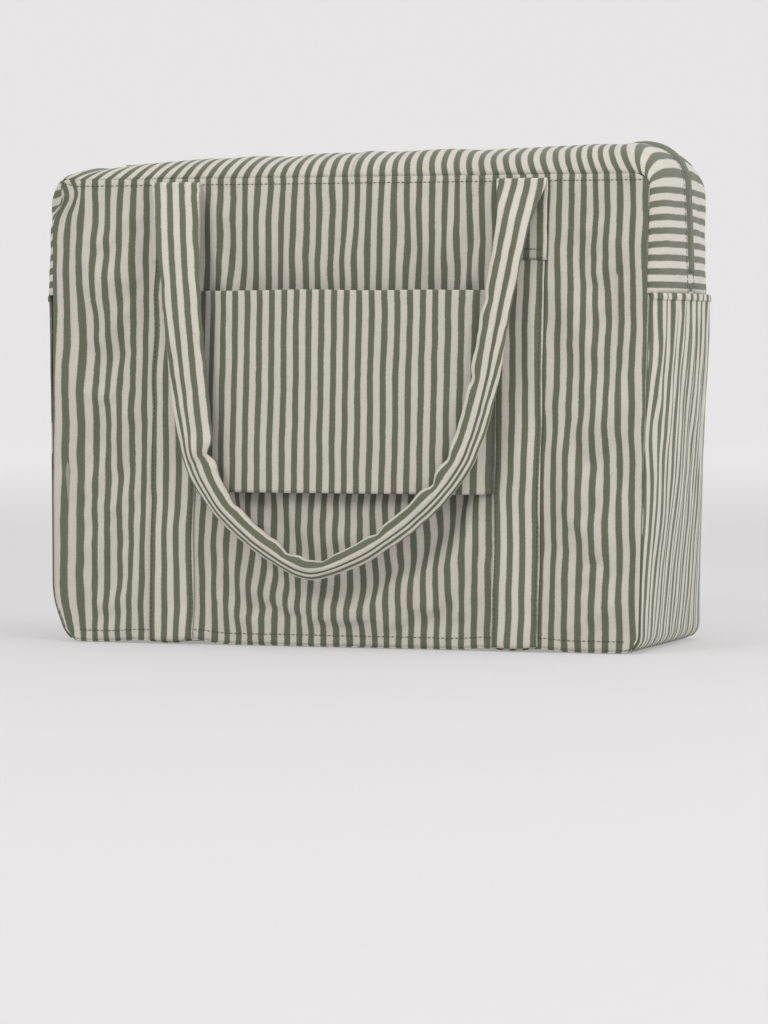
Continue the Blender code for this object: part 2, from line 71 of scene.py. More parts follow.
HALF_DEPTH = -panel_low.y
SEAM_TOP = panel_high.z
SIDE_WALL = 0.0020  # the sides stand this far outside the ends of the panels
TOP_HALF = panel_high.x + SIDE_WALL
BASE_HALF = base_high.x + SIDE_WALL
SEAM_TURN, BASE_TURN = 0.010, 0.012  # radii of a panel's corners at the top and at the base
MOUTH_END = tape_high.x
ZIP_LEFT_Z = tape_low.z + 0.0022
ZIP_RIGHT_Z = tape_high.z + 0.0014
ZIP_EDGE = 0.0043  # from the middle of the zip to the edge of the striped cloth
ZIP_BULGE = 0.0045  # how far outside the seam the zip turns down
ZIP_TURN = 0.030
SLIDER_TRAVEL = 0.345
ZIP_PROUD = 0.0015  # the zip stands this much higher past the slider's reach
ZIP_PROUD_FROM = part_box("zip_slider")[1].x + SLIDER_TRAVEL + 0.003
POCKET_TOP = side_high.z
SIDE_OUT = side_high.x - 0.001
POCKET_FULLNESS = 1.12  # length of a pocket's cloth for each length of its mouth
CLOTH = 0.0009  # thickness of the cloth
STRIPE = 0.0093  # one sage and one cream stripe
ROOT_AT, ROOT_HALF, ROOT_FOOT = 0.1285, 0.019, 0.255  # where the handles' roots lie on the panels
STRAP_AT, STRAP_REACH = 0.128, 0.020  # where the straps hold the panels
SEAM_HOLD = 0.014  # how far in from its edge a sewn panel holds still

# ---- small helpers


def mix(a, b, share):
    return a + (b - a) * share


def clamp(value, low=0.0, high=1.0):
    return max(low, min(high, value))


def smooth(value):
    value = clamp(value)
    return value * value * (3 - 2 * value)


def bump_at(value, centre, width):
    """A rounded bump of height 1 at centre."""
    return math.exp(-(((value - centre) / width) ** 2))


def wander(x, y, z=0.0):
    """Smooth noise from about -1 to 1."""
    return noise.noise(Vector((x, y, z)))


def link(obj):
    bpy.context.scene.collection.objects.link(obj)
    return obj


def lengths_along(points):
    """The distance of each point from the first one, along the line."""
    lengths = [0.0]
    for a, b in zip(points, points[1:]):
        lengths.append(lengths[-1] + (b - a).length)
    return lengths


def stretch_at(lengths, distance):
    """The number of the stretch between two points that holds a distance."""
    return min(int(np.searchsorted(lengths, distance, side="right")) - 1, len(lengths) - 2)


def lean(x, z):
    """The loaded cloth leans a little to the right towards the top, between the side seams."""
    window = 1 - smooth((abs(x) - 0.150) / 0.050)
    return (0.0063 * z / SEAM_TOP - 0.0023) * window


LEFT_ROLL, LEFT_ROLL_HIGH = 0.0140, 0.0065  # how far the left edge rolls out, low down and higher up
FAR_PULL = 0.0055  # how far the far right edge is drawn in
DART_DEPTH, DART_Z = 0.0095, 0.322
# The wavy foot: place along the base, rise and width of each wave.
FOOT_WAVES = ((-0.109, 0.0026, 0.012), (-0.155, 0.0017, 0.014))
FOOT_WAVES += ((0.104, 0.0014, 0.012), (0.146, 0.0018, 0.012))


def slump(point):
    """Where a point of the sewn shape ends up once the bag is packed and has been carried."""
    x, y, z = point
    new_x, new_y, new_z = x + lean(x, z), y, z
    near = smooth((-y - 0.010) / 0.070)
    edge = smooth((-0.190 - x) / 0.030) * near
    if edge > 0:
        reach = mix(LEFT_ROLL, LEFT_ROLL_HIGH, clamp(z / 0.300))
        height = smooth((z - 0.002) / 0.040) * (1 - 0.80 * smooth((z - 0.306) / 0.022))
        rolled = edge * height
        new_x -= reach * rolled
        new_y += 0.010 * rolled**2
        corner = smooth((-0.205 - x) / 0.014) * smooth((z - 0.315) / 0.014) * smooth((-y - 0.070) / 0.012)
        new_x -= 0.0028 * corner
        new_z += 0.0020 * corner
        dart = bump_at(z, DART_Z, 0.012) * smooth((-0.196 - x) / 0.024) * smooth((-y - 0.076) / 0.008)
        new_x += DART_DEPTH * dart
        new_y += 0.0015 * dart * wander(z / 0.004, x / 0.006, 5.0)
    far = smooth(y / 0.060) * smooth((x - 0.150) / 0.070)
    new_x -= FAR_PULL * far * min(1.0, z / 0.250)
    foot = 1 - smooth(z / 0.030)
    if foot > 0 and y < 0:
        lift = sum(rise * bump_at(x, centre, width) for centre, rise, width in FOOT_WAVES)
        new_z += lift * foot * smooth((-y - 0.060) / 0.025)
    return Vector((new_x, new_y, new_z))


def mesh_piece(name, points, faces, materials, uvs=None, soft=True):
    """A mesh object from points, faces and one flat cloth coordinate for each point."""
    if soft:
        points = [slump(p) for p in points]
    mesh = bpy.data.meshes.new(name)
    mesh.from_pydata([tuple(p) for p in points], [], faces)
    mesh.update()
    mesh.polygons.foreach_set("use_smooth", [True] * len(mesh.polygons))
    if uvs is not None:
        layer = mesh.uv_layers.new(name="cloth")
        corners = np.zeros(len(mesh.loops), np.int32)
        mesh.loops.foreach_get("vertex_index", corners)
        layer.data.foreach_set("uv", np.array(uvs, np.float32)[corners].ravel())
    for material in materials:
        mesh.materials.append(material)
    return link(bpy.data.objects.new(name, mesh))


def face_outward(obj):
    """Turn every face of a closed piece outward."""
    made = bmesh.new()
    made.from_mesh(obj.data)
    bmesh.ops.recalc_face_normals(made, faces=made.faces)
    made.to_mesh(obj.data)
    made.free()


def grid_faces(wide, rows):
    """Quads over rows of points, wide points to a row."""
    return [
        (j * wide + i, j * wide + i + 1, (j + 1) * wide + i + 1, (j + 1) * wide + i)
        for j in range(rows - 1)
        for i in range(wide - 1)
    ]


def cloth_grid(name, point, flat, across, along, materials, thickness=CLOTH, turned=False):
    """A sheet of cloth. point(u, v) places it, and flat(u, v) is its place on the cut cloth."""
    shares = [(i / across, j / along) for j in range(along + 1) for i in range(across + 1)]
    points = [point(u, v) for u, v in shares]
    uvs = [flat(u, v) for u, v in shares]
    obj = mesh_piece(name, points, grid_faces(across + 1, along + 1), materials, uvs)
    thicken(obj, thickness)
    if turned:
        obj.data.flip_normals()
    return obj


def thicken(obj, thickness):
    """Give a sheet its thickness on the side away from its normals, with the lining there."""
    solid = obj.modifiers.new("thickness", "SOLIDIFY")
    solid.thickness = thickness
    solid.offset = -1.0
    solid.use_even_offset = False
    if len(obj.data.materials) > 1:
        solid.material_offset = 1
        solid.material_offset_rim = 0


CLOTH_SETTINGS = {
    "quality": 5,
    "mass": 0.15,
    "tension_stiffness": 12,
    "compression_stiffness": 12,
    "shear_stiffness": 6,
    "bending_stiffness": 0.35,
    "vertex_group_mass": "pinned",
    "pin_stiffness": 1,
}
SETTLE_FRAMES = 14
SMOOTHING_PASSES = 3
WRINKLE_GAIN = 1.6  # smoothing lowers the wrinkles, and this brings them back
SIDEWAYS_SHARE = 0.3  # how much of the cap a point may move in the plane of its panel


def settle(obj, columns, pinned, cap, spare):
    """Let a sheet buckle as cloth between its pinned points, and keep the result in its mesh."""
    rest = [v.co.copy() for v in obj.data.vertices]
    group = obj.vertex_groups.new(name="pinned")
    for i, point in enumerate(rest):
        group.add([i], pinned(point), "REPLACE")
    solid = obj.modifiers["thickness"]
    solid.show_viewport = solid.show_render = False
    cloth = obj.modifiers.new("cloth", "CLOTH")
    for key, value in CLOTH_SETTINGS.items():
        setattr(cloth.settings, key, value)
    cloth.settings.shrink_min = -spare
    cloth.settings.effector_weights.gravity = 0.25
    cloth.point_cache.frame_start = 1
    cloth.point_cache.frame_end = SETTLE_FRAMES + 1
    scene = bpy.context.scene
    for number in range(1, SETTLE_FRAMES + 1):
        scene.frame_set(number)
    evaluated = obj.evaluated_get(bpy.context.evaluated_depsgraph_get())
    moved = [v.co.copy() for v in evaluated.data.vertices]
    obj.modifiers.remove(cloth)
    scene.frame_set(1)
    steps = np.array([end - start for start, end in zip(rest, moved)]).reshape(-1, columns, 3)
    steps = np.clip(steps, -cap, cap)
    for _ in range(SMOOTHING_PASSES):
        padded = np.pad(steps, ((1, 1), (1, 1), (0, 0)), mode="edge")
        around = padded[:-2, 1:-1] + padded[2:, 1:-1] + padded[1:-1, :-2] + padded[1:-1, 2:]
        steps = 0.5 * steps + 0.125 * around
    steps[..., 1] = np.clip(WRINKLE_GAIN * steps[..., 1], -cap, cap)
    for axis in (0, 2):
        steps[..., axis] = np.clip(steps[..., axis], -SIDEWAYS_SHARE * cap, SIDEWAYS_SHARE * cap)
    for vertex, start, step in zip(obj.data.vertices, rest, steps.reshape(-1, 3)):
        vertex.co = start + Vector(step)
    obj.vertex_groups.clear()
    solid.show_viewport = solid.show_render = True
    obj.data.update()


# ---- materials


def set_inputs(node, values):
    for name, value in values.items():
        node.inputs[name].default_value = value


def new_material(name):
    """A material, the helper that adds its nodes, and its shader."""
    material = bpy.data.materials.new(name)
    material.use_nodes = True
    tree = material.node_tree
    return material, Nodes(tree), tree.nodes["Principled BSDF"]


class Nodes:
    """Short ways to add shader nodes to one tree."""

    def __init__(self, tree):
        self.tree = tree

    def add(self, kind, **settings):
        node = self.tree.nodes.new(kind)
        for key, value in settings.items():
            setattr(node, key, value)
        return node

    def join(self, source, target):
        self.tree.links.new(source, target)

    def math(self, operation, *values):
        node = self.add("ShaderNodeMath", operation=operation)
        for socket, value in zip(node.inputs, values):
            if isinstance(value, (int, float)):
                socket.default_value = value
            else:
                self.join(value, socket)
        return node.outputs[0]

    def total(self, *terms):
        """The sum of sockets, numbers and (socket, weight) pairs."""
        parts = [self.math("MULTIPLY", *term) if isinstance(term, tuple) else term for term in terms]
        result = parts[0]
        for part in parts[1:]:
            result = self.math("ADD", result, part)
        return result

    def noise(self, vector, scale, detail=2.0, roughness=0.5):
        node = self.add("ShaderNodeTexNoise")
        set_inputs(node, {"Scale": scale, "Detail": detail, "Roughness": roughness})
        self.join(vector, node.inputs["Vector"])
        return node.outputs["Fac"]

    def colours(self, share, low, high):
        node = self.add("ShaderNodeMix", data_type="RGBA")
        self.join(share, node.inputs[0])
        node.inputs[6].default_value = (*low, 1)
        node.inputs[7].default_value = (*high, 1)
        return node.outputs[2]

    def soft_step(self, value, low, high):
        node = self.add("ShaderNodeMapRange", interpolation_type="SMOOTHSTEP")
        set_inputs(node, {"From Min": low, "From Max": high})
        self.join(value, node.inputs["Value"])
        return node.outputs["Result"]

    def bump(self, shader, height, strength, distance):
        node = self.add("ShaderNodeBump")
        set_inputs(node, {"Strength": strength, "Distance": distance})
        self.join(height, node.inputs["Height"])
        self.join(node.outputs[0], shader.inputs["Normal"])


SAGE = (0.118, 0.127, 0.085)
CREAM = (0.530, 0.505, 0.435)
CREAM_EDGE = (0.200, 0.290)  # where sage turns to cream, in turns away from the middle of a sage stripe


def cloth_coordinates(nodes):
    place = nodes.add("ShaderNodeUVMap", uv_map="cloth").outputs[0]
    apart = nodes.add("ShaderNodeSeparateXYZ")
    nodes.join(place, apart.inputs[0])
    return place, apart.outputs[0], apart.outputs[1]


def weave_height(nodes, place, across, along, thread):
    """Height of a plain weave with threads that far apart, in metres, with uneven yarn."""
    warp, weft = (nodes.math("SINE", nodes.math("MULTIPLY", a, math.tau / thread)) for a in (across, along))
    crossed = nodes.math("MULTIPLY", warp, weft)
    uneven = nodes.noise(place, 1 / (3 * thread), 3, 0.6)
    return nodes.total((crossed, 0.35), (uneven, 1.3))


def striped_material(name, shift=0.0, painted_light_gain=1.0, wobble=0.00035):
    """Striped cotton: sage and cream stripes with soft printed edges, over a fine plain weave."""
    material, nodes, shader = new_material(name)
    place, across, along = cloth_coordinates(nodes)
    drift = nodes.math("SUBTRACT", nodes.noise(place, 45, 2), 0.5)
    ragged = nodes.math("SUBTRACT", nodes.noise(place, 900, 2), 0.5)
    moved = nodes.total(across, (drift, 4 * wobble), (ragged, 0.0011))
    turn = nodes.math("FRACT", nodes.math("ADD", nodes.math("DIVIDE", moved, STRIPE), 100.0 + shift))
    away = nodes.math("ABSOLUTE", nodes.math("SUBTRACT", turn, 0.5))
    # A gain above 1 gives a lighter copy of the same cloth: painted light.
    sage, cream = (tuple(painted_light_gain * c for c in colour) for colour in (SAGE, CREAM))
    colour = nodes.colours(nodes.soft_step(away, *CREAM_EDGE), sage, cream)
    fade = nodes.noise(place, 18, 3)
    yarn = nodes.noise(place, 1100, 3)
    slub = nodes.add("ShaderNodeMapping")
    slub.inputs["Scale"].default_value = (1500, 70, 1)
    nodes.join(place, slub.inputs["Vector"])
    streak = nodes.noise(slub.outputs[0], 1.0, 2)
    level = nodes.total((fade, 0.12), (yarn, 0.34), (streak, 0.22), 0.66)
    tint = nodes.add("ShaderNodeCombineColor")
    for socket in tint.inputs[:3]:
        nodes.join(level, socket)
    worn = nodes.add("ShaderNodeMix", data_type="RGBA", blend_type="MULTIPLY")
    worn.inputs[0].default_value = 1.0
    nodes.join(colour, worn.inputs[6])
    nodes.join(tint.outputs[0], worn.inputs[7])
    nodes.join(worn.outputs[2], shader.inputs["Base Color"])
    nodes.join(nodes.total((yarn, 0.14), 0.74), shader.inputs["Roughness"])
    nodes.bump(shader, weave_height(nodes, place, across, along, 0.0007), 0.32, 0.00022)
    set_inputs(shader, {"Sheen Weight": 0.18, "Sheen Roughness": 0.45, "Specular IOR Level": 0.25})
    return material


def plain_cloth_material(name, colour, thread=0.0008):
    """Plain woven cloth or tape."""
    material, nodes, shader = new_material(name)
    height = weave_height(nodes, *cloth_coordinates(nodes), thread)
    # The weave's low places are painted darker: painted shade in its hollows.
    dark = tuple(c * 0.75 for c in colour)
    nodes.join(nodes.colours(nodes.soft_step(height, 0.2, 1.1), dark, colour), shader.inputs["Base Color"])
    nodes.bump(shader, height, 0.4, 0.0002)
    set_inputs(shader, {"Roughness": 0.82, "Sheen Weight": 0.15})
    return material


def solid_material(name, colour, roughness, metallic=0.0, grain=900, strength=0.15, coat=0.0):
    """Thread, nylon or painted metal, with a fine uneven surface."""
    material, nodes, shader = new_material(name)
    place = nodes.add("ShaderNodeTexCoord").outputs["Object"]
    grit = nodes.noise(place, grain, 3)
    patch = nodes.noise(place, grain / 12, 2)
    dark = tuple(c * 0.78 for c in colour)
    nodes.join(nodes.colours(patch, dark, colour), shader.inputs["Base Color"])
    nodes.join(nodes.total((grit, 0.2), roughness - 0.1), shader.inputs["Roughness"])
    nodes.bump(shader, grit, strength, 0.0001)
    set_inputs(shader, {"Metallic": metallic, "Coat Weight": coat})
    return material


STRIPED = striped_material("striped_cloth")
# The straps and handles use the same cloth made 9% lighter: painted light, for the brighter light they
# catch.
PAINTED_LIGHT_STRAP_CLOTH = striped_material("striped_strap", shift=0.25, painted_light_gain=1.09, wobble=0.0002)
LINING = plain_cloth_material("lining", (0.58, 0.54, 0.46))
TAPE = plain_cloth_material("zip_tape", (0.165, 0.185, 0.130), thread=0.0006)
COIL = solid_material("zip_coil", (0.170, 0.190, 0.135), 0.48, grain=1500)
METAL = solid_material("zip_metal", (0.20, 0.22, 0.165), 0.36, metallic=0.25, grain=1200, coat=0.2)
THREAD = solid_material("thread", (0.085, 0.090, 0.060), 0.75, grain=3000, strength=0.3)
BINDING = plain_cloth_material("seam_binding", (0.30, 0.31, 0.24), thread=0.0009)


TWO_SIDED = (STRIPED, LINING)


def bag_sheet(
    node, name, point, flat, cells, size, materials=TWO_SIDED,
    slot="striped_cloth", held="stretched", **options,
):
    """A sheet that stands for one node and stays on the bag. size, its flat size, is not used."""
    obj = cloth_grid(name, point, flat, *cells, materials, **options)
    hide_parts(node)
    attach(obj, "bag")
    return obj


# ---- shape of the bag


def half_at(z):
    """Half of the bag's length at a height, at its seams."""
    return mix(BASE_HALF, TOP_HALF, z / SEAM_TOP)


def zip_z(x):
    return mix(ZIP_LEFT_Z, ZIP_RIGHT_Z, x / (2 * MOUTH_END) + 0.5)


def side_out(z):
    """How far out a side stands at the middle of the depth."""
    return half_at(z) + mix(0.001, SIDE_OUT - half_at(POCKET_TOP), (z / POCKET_TOP) ** 0.8)


TOP_ROWS, TURN_ROWS, SIDE_ROWS = 66, 12, 24


def rows_round_corner(side, corner_x, corner_z, radius, start, end):
    """Points from the middle of the top, round a corner and down a side, as (x, z) vectors."""
    centre = Vector((corner_x - radius, corner_z - radius))
    turn = []
    for i in range(TURN_ROWS + 1):
        angle = math.radians(90 - 90 * i / TURN_ROWS)
        turn.append(centre + radius * Vector((math.cos(angle), math.sin(angle))))
    top = [start.lerp(turn[0], i / TOP_ROWS) for i in range(TOP_ROWS)]
    down = [turn[-1].lerp(end, (i + 1) / SIDE_ROWS) for i in range(SIDE_ROWS)]
    return [Vector((side * p.x, p.y)) for p in top + turn + down]


def seam_rows(side):
    end = Vector((half_at(POCKET_TOP), POCKET_TOP))
    return rows_round_corner(side, TOP_HALF, SEAM_TOP, SEAM_TURN, Vector((0, SEAM_TOP)), end)


LEFT_DROOP = 0.0035  # how far the zip sinks at the top left corner


def zip_rows(side):
    reach = TOP_HALF + ZIP_BULGE
    top = zip_z(side * (reach - ZIP_TURN))
    end = Vector((SIDE_OUT, POCKET_TOP))
    rows = rows_round_corner(side, reach, top, ZIP_TURN, Vector((0, zip_z(0))), end)
    for i in range(TOP_ROWS + TURN_ROWS):
        if i < TOP_ROWS:
            rows[i].y = zip_z(rows[i].x)
        rows[i].y -= LEFT_DROOP * smooth((-0.200 - rows[i].x) / 0.012) * smooth((rows[i].y - 0.300) / 0.030)
    return rows


def outward_of(rows, i, side):
    """The direction away from the bag at one row of the zip's line."""
    ahead = rows[min(i + 1, len(rows) - 1)] - rows[max(i - 1, 0)]
    return Vector((-ahead.y, ahead.x)).normalized() * side


def cloth_lengths(seam, line):
    """Length of cloth from the middle of the top to each row."""
    total, lengths = 0.0, [0.0]
    for i in range(1, len(seam)):
        if i <= TOP_ROWS:
            total = abs(seam[i].x)
        else:
            total += ((seam[i] - seam[i - 1]).length + (line[i] - line[i - 1]).length) / 2
        lengths.append(total)
    return lengths


def top_puff(x):
    """How far the cloth between seam and zip stands above the plain rise between them."""
    left_end = smooth((x + 0.214) / 0.030)
    return mix(0.0045, 0.0005, smooth((x - 0.02) / 0.12)) * left_end


def cloth_rise(share):
    """How far the cloth has climbed from seam to zip: nearly upright at first, then over."""
    return (1 - (1 - share) ** 3) ** 0.44


GUSSET_WIDE = 0.100


def gusset_shape(facing, side):
    """point(u, v) and flat(u, v) of a quarter of the top: u from seam to zip, v from middle to end."""
    seam, line = seam_rows(side), zip_rows(side)
    lengths = cloth_lengths(seam, line)
    last = len(seam) - 1
    seed = 3.7 * facing + 9.1 * side

    def point(u, v):
        i = round(v * last)
        share = u**1.5
        rise = cloth_rise(share)
        out = outward_of(line, i, side)
        place = seam[i].lerp(line[i], rise)
        along = lengths[i]
        puff = top_puff(seam[i].x) if i < TOP_ROWS else 0.002
        if TOP_ROWS - 10 < i <= TOP_ROWS + TURN_ROWS:
            puff *= 0.8
        swell = puff * math.sin(math.pi * share**0.7)
        ripple = 0.0017 * wander(along / 0.026, share * 2.5, seed) * math.sin(math.pi * u)
        ripple += 0.0012 * wander(along / 0.060, share * 1.5, seed + 2) * math.sin(math.pi * u)
        pucker = 0.0006 * wander(along / 0.006, share * 9, seed + 5) * bump_at(u, 0.12, 0.16)
        tuck = 0.0005 * wander(along / 0.009, 0, seed + 8) * bump_at(u, 0.92, 0.10)
        place = place + out * (swell + ripple + pucker + tuck)
        y = mix(HALF_DEPTH, ZIP_EDGE, share)
        return Vector((place.x, facing * y, place.y))

    def flat(u, v):
        i = round(v * last)
        share = u**1.5
        return (side * lengths[i], 0.4 + share * GUSSET_WIDE)

    return point, flat


# The upright folds beside the straps: place, depth and width of each.
STRAP_FOLDS = ((-0.153, 0.0022, 0.007), (-0.110, 0.0015, 0.006))
STRAP_FOLDS += ((0.150, 0.0034, 0.006), (0.104, 0.0012, 0.006))


def panel_swell(facing, x, z):
    """How far a large panel stands out from its seam plane."""
    half = half_at(z)
    edge = min(half - abs(x), SEAM_TOP - z, z - base_low.z)
    fade = smooth(edge / 0.030)
    quick_fade = smooth(edge / 0.007)
    seed = 11.0 * facing
    dome = 0.0022 * (1 - (x / half) ** 4) * (1 - abs(2 * z / SEAM_TOP - 1) ** 4)
    sway = 0.010 * wander(z / 0.075, x / 0.120, seed + 1)
    broad = 0.0036 * wander((x + sway) / 0.048, z / 0.120, seed) * fade
    ripple = 0.0026 * wander((x + sway) / 0.0165, z / 0.052, seed + 3) * quick_fade
    fine = 0.0005 * wander(x / 0.007, z / 0.013, seed + 6) * quick_fade
    seam = min(SEAM_TOP - z, z - base_low.z)
    pucker = 0.0007 * wander(x / 0.0065, z / 0.03, seed + 9) * math.exp(-seam / 0.010) * quick_fade
    folds = 0.0
    for centre, deep, wide in STRAP_FOLDS:
        drift = 0.004 * wander(z / 0.11, centre * 30, seed)
        held = 0.55 + 0.45 * wander(z / 0.09, centre * 9, seed + 2)
        folds -= deep * bump_at(x, centre + drift, wide) * fade * held
    crease = -0.0014 * bump_at(x, -0.2075, 0.0030) * smooth(seam / 0.012)
    swell = dome + broad + ripple + fine + pucker + folds + crease
    off_root = abs(abs(x) - ROOT_AT) - ROOT_HALF
    pressed = smooth((z - ROOT_FOOT) / 0.015) * (1 - smooth(off_root / 0.008))
    return mix(swell, min(swell, 0.0004), pressed)


def stripe_drift(x, z, seed):
    """How far the cloth has shifted sideways under its wrinkles."""
    slow = 0.0017 * wander(z / 0.042, x / 0.036, seed)
    quick = 0.0006 * wander(z / 0.016, x / 0.014, seed + 4)
    return slow + quick * (0.6 + wander(x / 0.05, z / 0.08, seed + 8))


def panel_point(facing, x, z, lift=0.0):
    return Vector((x, facing * (HALF_DEPTH + panel_swell(facing, x, z) + lift), z))


def corner_cut(d, radius):
    """How much shorter a row is that passes a rounded corner at the distance d from its end."""
    if d >= radius:
        return 0.0
    return radius - math.sqrt(max(0.0, radius**2 - (radius - d) ** 2))


def large_panel(facing):
    """The back or front panel, between the base and the seam under the top."""
    low_z, high_z = base_low.z + 0.0012, SEAM_TOP

    def place(u, v):
        z = mix(low_z, high_z, v)
        half = half_at(z) - corner_cut(z - low_z, BASE_TURN) - corner_cut(high_z - z, SEAM_TURN)
        return (2 * u - 1) * half, z

    def point(u, v):
        x, z = place(u, v)
        return panel_point(facing, x, z)

    def flat(u, v):
        x, z = place(u, v)
        return (x + stripe_drift(x, z, 7.0 + facing), z)

    def pinned(spot):
        """The sewn places hold still: the seams and the straps."""
        seam = min(half_at(spot.z) - abs(spot.x), high_z - spot.z, spot.z - low_z)
        strap = bump_at(abs(spot.x - lean(spot.x, spot.z)), STRAP_AT, STRAP_REACH)
        return 1.0 if seam < SEAM_HOLD or strap > 0.10 else 0.0

    node = FACES[facing] + "_panel"
    obj = bag_sheet(node, node + "_cloth", point, flat, (150, 112), (2 * TOP_HALF, SEAM_TOP))
    settle(obj, 151, pinned, cap=0.0050, spare=0.014)
    if facing == FRONT:
        obj.data.flip_normals()


def blend_with_lip(obj, facing, side):
    """Bake a piece of the top's placement into its mesh."""
    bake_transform(obj)


def gusset(facing, side):
    """A quarter of the top: from the middle, round the corner and down to the pocket."""
    point, flat = gusset_shape(facing, side)
    rows = TOP_ROWS + TURN_ROWS + SIDE_ROWS
    name = f"{FACES[facing]}_{SIDES[side]}_top_cloth"
    obj = cloth_grid(name, point, flat, 34, rows, TWO_SIDED, turned=facing * side < 0)
    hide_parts(f"{FACES[facing]}_{SIDES[side]}_gusset_end", f"{FACES[facing]}_zip_flap")
    cloth_lengths(seam_rows(side), zip_rows(side))[-1]
    blend_with_lip(obj, facing, side)


def side_point(side, y, z):
    """A point of a side panel's surface."""
    share = 1 - (abs(y) / HALF_DEPTH) ** 4
    edge = half_at(z) - corner_cut(z - base_low.z, BASE_TURN)
    out = mix(edge, max(edge, side_out(z) - corner_cut(z - base_low.z, BASE_TURN)), share)
    ripple = 0.0008 * wander(y / 0.03, z / 0.05, 20 + side) * share
    return Vector((side * (out + ripple), y, z))


def side_panel(side):
    def point(u, v):
        return side_point(side, mix(-HALF_DEPTH, HALF_DEPTH, u), mix(base_low.z + 0.001, POCKET_TOP, v))

    def flat(u, v):
        return (mix(-HALF_DEPTH, HALF_DEPTH, u), mix(0, POCKET_TOP, v))

    node, name = f"{SIDES[side]}_side_panel", f"{SIDES[side]}_side_cloth"
    bag_sheet(node, name, point, flat, (40, 50), (2 * HALF_DEPTH, POCKET_TOP), turned=side == LEFT)


POCKET_OPEN = {LEFT: 0.10, RIGHT: 0.62}  # how much of the CAD pocket's stand-off each pocket uses


def side_pocket(side):
    """The pocket: gathered under its hem, and standing open a little."""
    proud = (pocket_high.x - side_high.x - 0.001) * POCKET_OPEN[side]

    def point(u, v):
        y = mix(-HALF_DEPTH + 0.0004, HALF_DEPTH - 0.0004, u)
        z = mix(base_low.z + 0.0025, pocket_high.z, v)
        share = 1 - (abs(y) / HALF_DEPTH) ** 4
        open_share = smooth(v / 0.8)
        lift = 0.0011 + (proud * open_share) * share
        lift += 0.0018 * v**3 * (1 - share)
        gather = 0.0011 * math.sin(math.tau * y / 0.0155 + 1.4 * wander(z / 0.03, y / 0.04, side))
        gather *= (0.25 + 0.75 * v**4) * min(1.0, 6 * share)
        sway = 0.0016 * wander(y / 0.020, z / 0.075, 31 + side) * smooth(v * 6) * share
        base = side_point(side, y, z)
        return Vector((base.x + side * (lift + gather + sway), y, z))

    def flat(u, v):
        y = mix(-HALF_DEPTH, HALF_DEPTH, u) * POCKET_FULLNESS
        z = mix(0, pocket_high.z, v)
        sway = 0.0045 * wander(z / 0.060, y / 0.045, 6.0 * side) * smooth(v * 5)
        return (y + sway + 0.0014 * wander(z / 0.026, y / 0.02, 3.0 * side), z)

    node, name = f"{SIDES[side]}_side_pocket", f"{SIDES[side]}_pocket_cloth"
    size = (2 * HALF_DEPTH * POCKET_FULLNESS, pocket_high.z)
    bag_sheet(node, name, point, flat, (96, 76), size, held="gathered", turned=side == LEFT)
    pocket_hem(side, [point(i / 120, 1.0) for i in range(121)])


def pocket_hem(side, points):
    """The turned hem along a pocket's mouth: a soft roll with the cloth's stripes on it."""
    rings, uvs = [], []
    for p in points:
        ring = []
        for k in range(10):
            angle = math.tau * k / 10
            up = -0.0022 + 0.0026 * math.sin(angle)
            ring.append(p + Vector((side * 0.0007 * math.cos(angle), 0, up)))
            uvs.append((p.y * POCKET_FULLNESS, 0.0034 * math.sin(angle)))
        rings.append(ring)
    obj = tube(f"{SIDES[side]}_pocket_hem", rings, [STRIPED], uvs)
    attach(obj, "bag")


def tube(name, rings, materials, uvs, soft=True):
    """A closed skin over rings of points, with an end cap on each end."""
    count = len(rings[0])
    points = [p for ring in rings for p in ring]
    faces = []
    for r in range(len(rings) - 1):
        for k in range(count):
            n = (k + 1) % count
            a, b = r * count, (r + 1) * count
            faces.append((a + k, a + n, b + n, b + k))
    faces.append(tuple(range(count))[::-1])
    faces.append(tuple((len(rings) - 1) * count + k for k in range(count)))
    obj = mesh_piece(name, points, faces, materials, uvs, soft=soft)
    face_outward(obj)
    return obj


def base_cloth():
    """The base, turned up a little at its edges."""

    def point(u, v):
        x = mix(-BASE_HALF, BASE_HALF, u) * 0.999
        y = mix(-HALF_DEPTH, HALF_DEPTH, v)
        cut = corner_cut(BASE_HALF - abs(x), BASE_TURN)
        sag = 0.0005 * (1 + wander(x / 0.04, y / 0.04, 40.0))
        return Vector((x, y, base_low.z + 0.0004 + cut + sag * smooth((HALF_DEPTH - abs(y)) / 0.01)))

    def flat(u, v):
        return (mix(-BASE_HALF, BASE_HALF, u), mix(-HALF_DEPTH, HALF_DEPTH, v))

    size = (2 * BASE_HALF, 2 * HALF_DEPTH)
    bag_sheet("base_panel", "base_cloth", point, flat, (110, 44), size, turned=True)


# ---- sleeves


SLEEVE_EASE = 1.08  # length of the sleeve's cloth for each length between its seams


